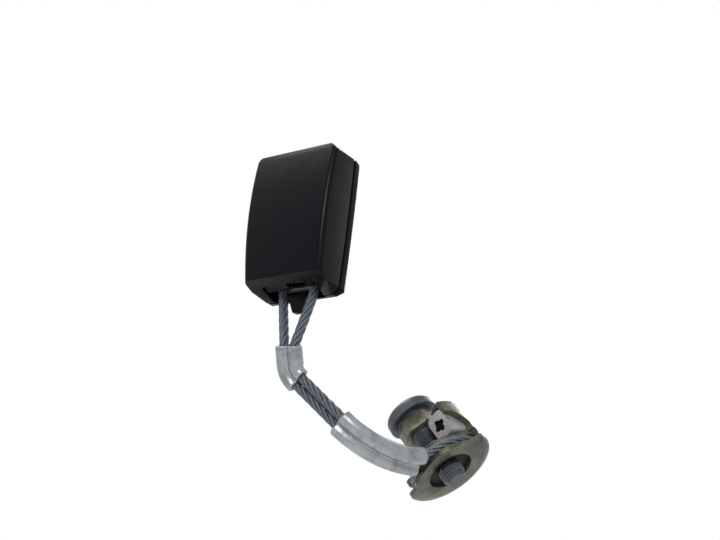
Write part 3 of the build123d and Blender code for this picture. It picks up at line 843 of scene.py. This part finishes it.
def bolt_profile():
    """The bolt's half outline, from its tip to the middle of its round head."""
    head = -CAP_FRONT
    back = head - CAP_THICK
    collar = head + COLLAR_THICK
    shoulder = BOLT_TIP - TIP_DOG
    profile = [
        (0.0, BOLT_TIP),
        (DOG_RADIUS - DOG_CHAMFER, BOLT_TIP),
        (DOG_RADIUS, BOLT_TIP - DOG_CHAMFER),
        (DOG_RADIUS, shoulder + 0.5),
        (THREAD_CORE, shoulder),
        (THREAD_CORE, -GROOVE_FRONT),
        (GROOVE_RADIUS, -GROOVE_FRONT),
        (GROOVE_RADIUS, -GROOVE_BACK),
        (THREAD_CORE, -GROOVE_BACK),
        (THREAD_CORE, -THREAD_START),
        (SHANK_RADIUS, -THREAD_START - 0.6),
        (SHANK_RADIUS, collar),
        (COLLAR_RADIUS - 0.3, collar),
        (COLLAR_RADIUS, collar - 0.3),
        (COLLAR_RADIUS, head + 0.2),
        (COLLAR_RADIUS + 0.2, head),
        (CAP_RADIUS - 1.6, head),
        (CAP_RADIUS - 1.3, head),
        (CAP_RADIUS - 0.3, head - 0.1),
        (CAP_RADIUS, head - 0.4),
    ]
    steps = 8
    for i in range(steps + 1):
        angle = pi / 2 * i / steps
        radius = CAP_RADIUS - CAP_ROUND * (1 - cos(angle))
        profile.append((radius, back + CAP_ROUND * (1 - sin(angle))))
    floor = back + DIMPLE_DEPTH
    return profile + [(DIMPLE_RADIUS, back), (DIMPLE_RADIUS - 0.4, floor), (0.0, floor)]


def add_thread(shape, low, high):
    """Adds a thread between two heights, as a ridge wound round the core."""
    per_turn = 36
    half = THREAD_PITCH * 0.46
    outline = (
        (THREAD_ROOT, low),
        (THREAD_CORE, low),
        (THREAD_CREST, low + half * 0.85),
        (THREAD_CREST, low + half * 1.15),
        (THREAD_CORE, low + half * 2),
        (THREAD_ROOT, low + half * 2),
    )
    face = shape.faces.new([shape.verts.new((radius, 0.0, height)) for radius, height in outline])
    steps = int(((high - low) / THREAD_PITCH - 1) * per_turn)
    bmesh.ops.spin(
        shape,
        geom=[face] + face.edges[:] + face.verts[:],
        cent=(0, 0, 0),
        axis=(0, 0, 1),
        angle=2 * pi * steps / per_turn,
        steps=steps,
        dvec=(0, 0, THREAD_PITCH / per_turn),
        use_duplicate=False,
        use_merge=False,
    )


# ---- rope ----


def squared(side, way_in, way_out):
    """A sideways direction turned square to the middle of a bend."""
    along = (way_in.normalized() + way_out.normalized()).normalized()
    return (side - along * side.dot(along)).normalized()


def sleeve_points(offset):
    """The rope's points through the curved sleeve, from its top to its lower end."""
    turns = 4
    reach = SLEEVE_BEND_RADIUS / cos(SLEEVE_BEND / turns / 2)
    points = []
    for i in range(turns):
        angle = SLEEVE_BEND * (turns - i - 0.5) / turns
        x = SLEEVE_START + reach * sin(angle)
        z = ROPE_PLANE - SLEEVE_BEND_RADIUS + reach * cos(angle)
        points.append(at_anchor(x, -offset, z))
    return points


def leg_points(side):
    """One leg's points, from the saddle down to where it meets the thimble."""
    offset = side * PAIR_OFFSET
    mouth = at_housing(side * SADDLE_RADIUS, LEG_DEPTH, LEG_MOUTH)
    upper = FERRULE_TOP - at_housing(0, LEG_DEPTH, LEG_MOUTH)
    inside = FERRULE_BEND - FERRULE_TOP
    top_way = squared(Vector((1, 0, 0)), upper, inside)
    bend_way = squared(-PAIR_WAY, inside, -STALK_WAY)
    top = FERRULE_TOP + top_way * offset * MM
    middle = FERRULE_BEND + bend_way * offset * MM
    near_top = top + (mouth - top) * MOUTH_SHARE
    return {
        "mouth": [at_housing(side * SADDLE_RADIUS, LEG_DEPTH, LEG_TOP), mouth, near_top],
        "ferrule": [top, middle],
        "stalk": [middle - STALK_WAY * run * MM for run in (STALK_LEAD, STALK_END)],
        "sleeve": sleeve_points(offset),
        "split": [
            at_anchor(SLEEVE_START + 1.0, -offset, ROPE_PLANE),
            at_anchor(LEG_SPLIT + 0.9, -offset, ROPE_PLANE),
            at_anchor(LEG_SPLIT - 1.5, -offset * LEG_SPREAD, ROPE_PLANE),
        ],
    }


def loop_points():
    """The rope's points round the thimble."""
    split = hypot(LEG_SPLIT, PAIR_OFFSET)
    start = atan2(PAIR_OFFSET, LEG_SPLIT) + acos(THIMBLE_BEND / split)
    turns = 6
    turn = (2 * pi - 2 * start) / turns
    reach = THIMBLE_BEND / cos(turn / 2)
    points = []
    for i in range(turns):
        angle = start + turn * (i + 0.5)
        points.append(at_anchor(reach * cos(angle), reach * sin(angle), ROPE_PLANE))
    return points


def rope_points():
    """The whole loop of the rope, from its end in the ferrule and back to it."""
    right = leg_points(1)
    left = leg_points(-1)
    over = SADDLE_HEIGHT + SADDLE_RADIUS
    start = right["ferrule"][1] - STALK_WAY * ROPE_BREAK * MM
    end = start - STALK_WAY * ROPE_GAP * MM
    points = [start, right["ferrule"][1], right["ferrule"][0]]
    points += right["mouth"][::-1]
    points += [
        at_housing(SADDLE_RADIUS, LEG_DEPTH, over - SADDLE_FALL),
        at_housing(SADDLE_RADIUS - SADDLE_CORNER, LEG_DEPTH, over),
        at_housing(SADDLE_CORNER - SADDLE_RADIUS, LEG_DEPTH, over),
        at_housing(-SADDLE_RADIUS, LEG_DEPTH, over - SADDLE_FALL),
    ]
    points += left["mouth"] + left["ferrule"] + left["stalk"] + left["sleeve"] + left["split"]
    points += loop_points()
    points += right["split"][::-1] + right["sleeve"][::-1] + right["stalk"][::-1][:1]
    return points + [end - STALK_WAY * ROPE_END * MM, end]


def route_line():
    """The rope's centre line: the points of a smooth spline through its route."""
    curve = bpy.data.curves.new("rope_route", "CURVE")
    curve.dimensions = "3D"
    spline = curve.splines.new("NURBS")
    points = rope_points()
    spline.points.add(len(points) - 1)
    for point, place in zip(spline.points, points):
        point.co = (*place, 1.0)
    spline.order_u = 3
    spline.use_endpoint_u = True
    spline.resolution_u = 24
    mesh = curve_mesh(curve, "rope_route")
    line = [vert.co.copy() for vert in mesh.vertices]
    bpy.data.meshes.remove(mesh)
    return line


def evened(line, step):
    """The same line with its points a step apart."""
    places = [line[0]]
    gone = 0.0
    for first, second in zip(line, line[1:]):
        run = (second - first).length
        while run > 0 and gone + run >= step:
            share = (step - gone) / run
            first = first.lerp(second, share)
            places.append(first.copy())
            run = (second - first).length
            gone = 0.0
        gone += run
    return places


def carried_sides(line, side=None):
    """A sideways direction at each point of a line, carried along it without twist."""
    ways = [(b - a).normalized() for a, b in zip(line, line[1:])]
    ways.append(ways[-1])
    side = side or ways[0].orthogonal()
    sides = []
    for way in ways:
        side = (side - way * side.dot(way)).normalized()
        sides.append((side.copy(), way.cross(side)))
    return sides


def strand_curve(line, strands, lay, strand_radius, reach):
    """A curve of strands laid round a line; lay is the length in which a strand goes once round."""
    sides = carried_sides(line)
    step = (line[1] - line[0]).length
    curve = bpy.data.curves.new("rope_strands", "CURVE")
    curve.dimensions = "3D"
    curve.bevel_depth = strand_radius
    curve.bevel_resolution = 2
    curve.use_fill_caps = True
    for strand in range(strands):
        spline = curve.splines.new("POLY")
        spline.points.add(len(line) - 1)
        for i, (place, (side, other)) in enumerate(zip(line, sides)):
            angle = 2 * pi * (strand / strands + i * step / lay)
            out = side * cos(angle) + other * sin(angle)
            spline.points[i].co = (*(place + out * reach), 1.0)
    return curve


# ---- settings ----


def colour_setting(name, description, default):
    """A colour that the panel shows."""
    return FloatVectorProperty(
        name=name,
        description=description,
        subtype="COLOR",
        size=3,
        default=default,
        min=0.0,
        max=1.0,
    )


class PlasticFinish(bpy.types.PropertyGroup):
    """Colours and grain of the moulded pieces."""

    shell: colour_setting(
        "Shell colour",
        "Colour of the two shells of the housing",
        (0.0013, 0.0021, 0.0036),
    )
    shell_rough: FloatProperty(
        name="Shell roughness",
        description="How matt the shells are",
        default=0.3,
        min=0.0,
        max=1.0,
    )
    button: colour_setting(
        "Button colour",
        "Colour of the release button",
        (0.52, 0.02, 0.015),
    )
    ejector: colour_setting(
        "Ejector colour",
        "Colour of the ejector inside the slot",
        (0.7, 0.69, 0.66),
    )
    grain: FloatProperty(
        name="Grain depth",
        description="Depth of the moulded grain",
        subtype="DISTANCE",
        unit="LENGTH",
        default=0.00003,
        min=0.0,
        precision=6,
    )


class MetalFinish(bpy.types.PropertyGroup):
    """Colours of the metal pieces."""

    rope: colour_setting(
        "Rope colour",
        "Colour of the galvanised strands",
        (0.085, 0.1, 0.12),
    )
    sleeve: colour_setting(
        "Sleeve colour",
        "Colour of the ferrule and the long sleeve",
        (0.32, 0.345, 0.36),
    )
    anchor: colour_setting(
        "Anchor colour",
        "Colour of the plated anchor pieces",
        (0.045, 0.05, 0.041),
    )
    bolt: colour_setting(
        "Bolt colour",
        "Colour of the bolt and its nut",
        (0.06, 0.068, 0.08),
    )


class RopeLay(bpy.types.PropertyGroup):
    """How the rope is laid up."""

    strands: IntProperty(
        name="Outer strands",
        description="Number of strands round the core",
        default=6,
        min=3,
        max=12,
    )
    lay: FloatProperty(
        name="Lay length",
        description="Length along the rope in which a strand goes once round",
        subtype="DISTANCE",
        unit="LENGTH",
        default=0.026,
        min=0.005,
    )


class StageLight(bpy.types.PropertyGroup):
    """The lamps and the camera."""

    key: FloatProperty(
        name="Key lamp",
        description="Power of the large lamp above on the left",
        subtype="POWER",
        unit="POWER",
        default=11.5,
        min=0.0,
    )
    fill: FloatProperty(
        name="Fill lamp",
        description="Power of the small lamp in front on the right",
        subtype="POWER",
        unit="POWER",
        default=6.0,
        min=0.0,
    )
    lens: FloatProperty(
        name="Lens",
        description="Focal length of the camera",
        default=67.2,
        min=10.0,
    )


# ---- operators ----


class BUCKLE_OT_housing(bpy.types.Operator):
    """Finish the two shells and the release button"""

    bl_idname = "buckle.housing"
    bl_label = "Housing"

    def execute(self, context):
        plastic = context.scene.buckle_plastic
        rough = plastic.shell_rough
        black = moulded_plastic("shell plastic", plastic.shell, rough, plastic.grain, specular=0.09)
        red = moulded_plastic("button plastic", plastic.button, rough=0.34, grain=plastic.grain * 0.4)
        softened("front_shell", black, edge=0.0016, segments=4)
        softened("rear_shell", black, edge=0.0012, segments=3)
        softened("release_button", red, edge=0.0004)
        return {"FINISHED"}


class BUCKLE_OT_mechanism(bpy.types.Operator):
    """Finish the frame, latch, slider, ejector, pins and springs"""

    bl_idname = "buckle.mechanism"
    bl_label = "Mechanism"

    def execute(self, context):
        plastic = context.scene.buckle_plastic
        grain = plastic.grain * 0.4
        white = moulded_plastic("ejector plastic", plastic.ejector, rough=0.4, grain=grain)
        bright = plated_steel("zinc plated sheet", ZINC, ZINC_TINT, rough=0.34, wear=0.15)
        wire = drawn_wire("spring wire", SPRING_STEEL, rough=0.3)
        dress("ejector", white)
        for node in ("buckle_frame", "rope_saddle", "latch", "latch_pin", "lock_slider"):
            dress(node, bright)
        dress("latch_spring", wire)
        sprung("button_springs", wire)
        sprung("ejector_spring", wire)
        return {"FINISHED"}


class BUCKLE_OT_rope(bpy.types.Operator):
    """Lay the strands of the wire rope along its route"""

    bl_idname = "buckle.rope"
    bl_label = "Wire rope"

    def execute(self, context):
        lay = context.scene.buckle_rope
        steel = drawn_wire("galvanised strand", context.scene.buckle_metal.rope, rough=0.4)
        line = evened(route_line(), ROPE_STEP * MM)
        outer = ROPE_RADIUS * MM
        strand = outer * sin(pi / lay.strands) / (1 + sin(pi / lay.strands))
        curve = strand_curve(line, lay.strands, lay.lay, strand * STRAND_SWELL, outer - strand)
        stand_in("rope_strands", "wire_rope", curve_mesh(curve, "rope_strands"), steel)
        return {"FINISHED"}


class BUCKLE_OT_sleeves(bpy.types.Operator):
    """Finish the ferrule and the long sleeve"""

    bl_idname = "buckle.sleeves"
    bl_label = "Ferrule and sleeve"

    def execute(self, context):
        colour = context.scene.buckle_metal.sleeve
        lead = (FERRULE_TOP - FERRULE_BEND).normalized() * FERRULE_LEAD * MM
        trail = STALK_WAY * FERRULE_TRAIL * MM
        radius = FERRULE_BEND_RADIUS * MM
        line = bent_line(FERRULE_TOP + lead, FERRULE_BEND, FERRULE_BEND - trail, radius)
        mesh = pressed_tube("ferrule_pressed", line, FERRULE_SECTION)
        steel = swaged_metal("pressed ferrule", colour, rough=0.24)
        stand_in("ferrule_pressed", "upper_ferrule", mesh, steel)
        mesh = pressed_tube("sleeve_swaged", sleeve_line(), SLEEVE_SECTION, SLEEVE_FLARE)
        steel = swaged_metal("swaged sleeve", colour, rough=0.28)
        stand_in("sleeve_swaged", "lower_sleeve", mesh, steel)
        return {"FINISHED"}


class BUCKLE_OT_anchor(bpy.types.Operator):
    """Finish the thimble, the bracket and the block"""

    bl_idname = "buckle.anchor"
    bl_label = "Anchor"

    def execute(self, context):
        metal = context.scene.buckle_metal
        tint = (metal.anchor[0] * 2.4, metal.anchor[1] * 2.3, metal.anchor[2] * 1.7)
        olive = plated_steel("olive plated steel", metal.anchor, tint, 0.3, wear=0.35, rim=RIM_WEAR_AND_HIGHLIGHT)
        pale = block_steel(BLOCK_PALE, BLOCK_TINT)
        black = moulded_plastic("washer plastic", WASHER_BLACK, 0.5, grain=0.00002, specular=0.1)
        softened("thimble", olive, edge=0.0005, segments=3, change=trim_rim)
        strap = joined_loops("bracket_strap", strap_loops(), closed=False)
        rounded(stand_in("bracket_strap", "anchor_bracket", strap, olive), width=0.0005)
        plate = joined_loops("bracket_plate", plate_loops(), closed=True)
        rounded(stand_in("bracket_plate", "anchor_bracket", plate, olive), width=0.0003)
        block = joined_loops("block_cast", block_loops(), closed=False)
        stand_in("block_cast", "stop_block", block, pale)
        dress("retaining_washer", black)
        return {"FINISHED"}


class BUCKLE_OT_bolt(bpy.types.Operator):
    """Turn the bolt with its thread and finish the nut"""

    bl_idname = "buckle.bolt"
    bl_label = "Bolt and nut"

    def execute(self, context):
        metal = context.scene.buckle_metal
        tint = [part * 1.5 for part in metal.bolt]
        steel = plated_steel("bolt steel", metal.bolt, tint, rough=0.36)
        shape = bmesh.new()
        lathe(shape, bolt_profile())
        add_thread(shape, -THREAD_START, -GROOVE_BACK - THREAD_RUN_IN)
        add_thread(shape, THREAD_RUN_IN - GROOVE_FRONT, BOLT_TIP - TIP_DOG)
        stand_in("bolt_turned", "anchor_bolt", settle(shape, ANCHOR, "bolt_turned"), steel)
        olive = plated_steel("olive nut steel", NUT_OLIVE, NUT_TINT, rough=0.3, wear=0.4)
        softened("hex_nut", olive, edge=0.0004)
        return {"FINISHED"}


class BUCKLE_OT_stage(bpy.types.Operator):
    """Set the floor, the white surroundings, the lamps and the camera"""

    bl_idname = "buckle.stage"
    bl_label = "Stage"

    def execute(self, context):
        stage = context.scene.buckle_stage
        add_floor()
        light_world()
        add_lamp("key lamp", KEY_PLACE, KEY_SIZE, stage.key)
        add_lamp("fill lamp", FILL_PLACE, FILL_SIZE, stage.fill)
        add_lamp("back lamp", BACK_PLACE, BACK_SIZE, stage.fill * BACK_SHARE)
        add_camera(stage.lens)
        context.scene.view_settings.view_transform = "Standard"
        return {"FINISHED"}


def light_world():
    """A soft grey world that looks white behind the object and in its reflections."""
    world = bpy.data.worlds.new("studio")
    world.use_nodes = True
    tree = world.node_tree
    tree.nodes.remove(tree.nodes["Background"])
    nodes = Nodes(tree)
    seen = nodes.seen()
    white = (1.0, 1.0, 1.0, 1.0)
    lit = nodes.node("ShaderNodeBackground", {}, {"Color": white, "Strength": WORLD_LIGHT})
    shown = nodes.node("ShaderNodeBackground", {}, {"Color": white, "Strength": 1.0})
    mixed = nodes.node("ShaderNodeMixShader", {}, {0: seen, 1: lit, 2: shown})
    nodes.join(tree.nodes["World Output"].inputs["Surface"], mixed)
    bpy.context.scene.world = world


def add_floor():
    """A plain pale floor below the object."""
    shape = bmesh.new()
    bmesh.ops.create_grid(shape, x_segments=1, y_segments=1, size=FLOOR_SIZE / 2)
    bmesh.ops.translate(shape, vec=(0, 0, FLOOR_HEIGHT), verts=shape.verts)
    mesh = bpy.data.meshes.new("floor")
    shape.to_mesh(mesh)
    shape.free()
    floor = bpy.data.objects.new("floor", mesh)
    bpy.context.scene.collection.objects.link(floor)
    finish = Finish("floor paint", FLOOR_PAINT, 0.7)
    mottle = finish.noise(finish.coordinates(), 9.0, 3.0)
    finish.set("Roughness", 0.66 + mottle * 0.08)
    finish.set("Emission Color", finish.mix(finish.seen(), (0.0, 0.0, 0.0), FLOOR_GLOW))
    finish.set("Emission Strength", 1.0)
    paint(mesh, finish.material)


def add_lamp(name, place, size, power):
    """A square lamp that faces the object's middle."""
    lamp = bpy.data.lights.new(name, "AREA")
    lamp.size = size
    lamp.energy = power
    holder = bpy.data.objects.new(name, lamp)
    bpy.context.scene.collection.objects.link(holder)
    middle = (Vector(solid_box[0]) + Vector(solid_box[1])) / 2
    holder.location = middle + Vector(place)
    holder.rotation_euler = Vector(place).to_track_quat("Z", "Y").to_euler()


def add_camera(lens):
    """The camera, which looks slightly up at the buckle."""
    camera = bpy.data.cameras.new("camera")
    camera.lens = lens
    camera.clip_start = 0.01
    holder = bpy.data.objects.new("camera", camera)
    bpy.context.scene.collection.objects.link(holder)
    holder.location = CAMERA_PLACE
    holder.rotation_euler = Euler([radians(angle) for angle in CAMERA_TURN])
    bpy.context.scene.camera = holder


class BUCKLE_PT_panel(bpy.types.Panel):
    """Lists the buckle's pieces and settings"""

    bl_idname = "BUCKLE_PT_panel"
    bl_label = "Seat Belt Buckle"
    bl_space_type = "VIEW_3D"
    bl_region_type = "UI"
    bl_category = "Buckle"

    def draw(self, context):
        layout = self.layout
        for operator in OPERATORS:
            layout.operator(operator.bl_idname)
        for name in SETTINGS:
            box = layout.box()
            group = getattr(context.scene, name)
            for key in group.bl_rna.properties.keys():
                if key not in ("rna_type", "name"):
                    box.prop(group, key)


OPERATORS = (
    BUCKLE_OT_housing,
    BUCKLE_OT_mechanism,
    BUCKLE_OT_rope,
    BUCKLE_OT_sleeves,
    BUCKLE_OT_anchor,
    BUCKLE_OT_bolt,
    BUCKLE_OT_stage,
)
SETTINGS = {
    "buckle_plastic": PlasticFinish,
    "buckle_metal": MetalFinish,
    "buckle_rope": RopeLay,
    "buckle_stage": StageLight,
}


def register():
    for name, group in SETTINGS.items():
        bpy.utils.register_class(group)
        setattr(bpy.types.Scene, name, PointerProperty(type=group))
    for operator in OPERATORS:
        bpy.utils.register_class(operator)
    bpy.utils.register_class(BUCKLE_PT_panel)


def unregister():
    bpy.utils.unregister_class(BUCKLE_PT_panel)
    for operator in reversed(OPERATORS):
        bpy.utils.unregister_class(operator)
    for name, group in reversed(SETTINGS.items()):
        delattr(bpy.types.Scene, name)
        bpy.utils.unregister_class(group)


def main():
    register()
    bpy.ops.buckle.housing()
    bpy.ops.buckle.mechanism()
    bpy.ops.buckle.rope()
    bpy.ops.buckle.sleeves()
    bpy.ops.buckle.anchor()
    bpy.ops.buckle.bolt()
    bpy.ops.buckle.stage()


if __name__ == "__main__":
    main()
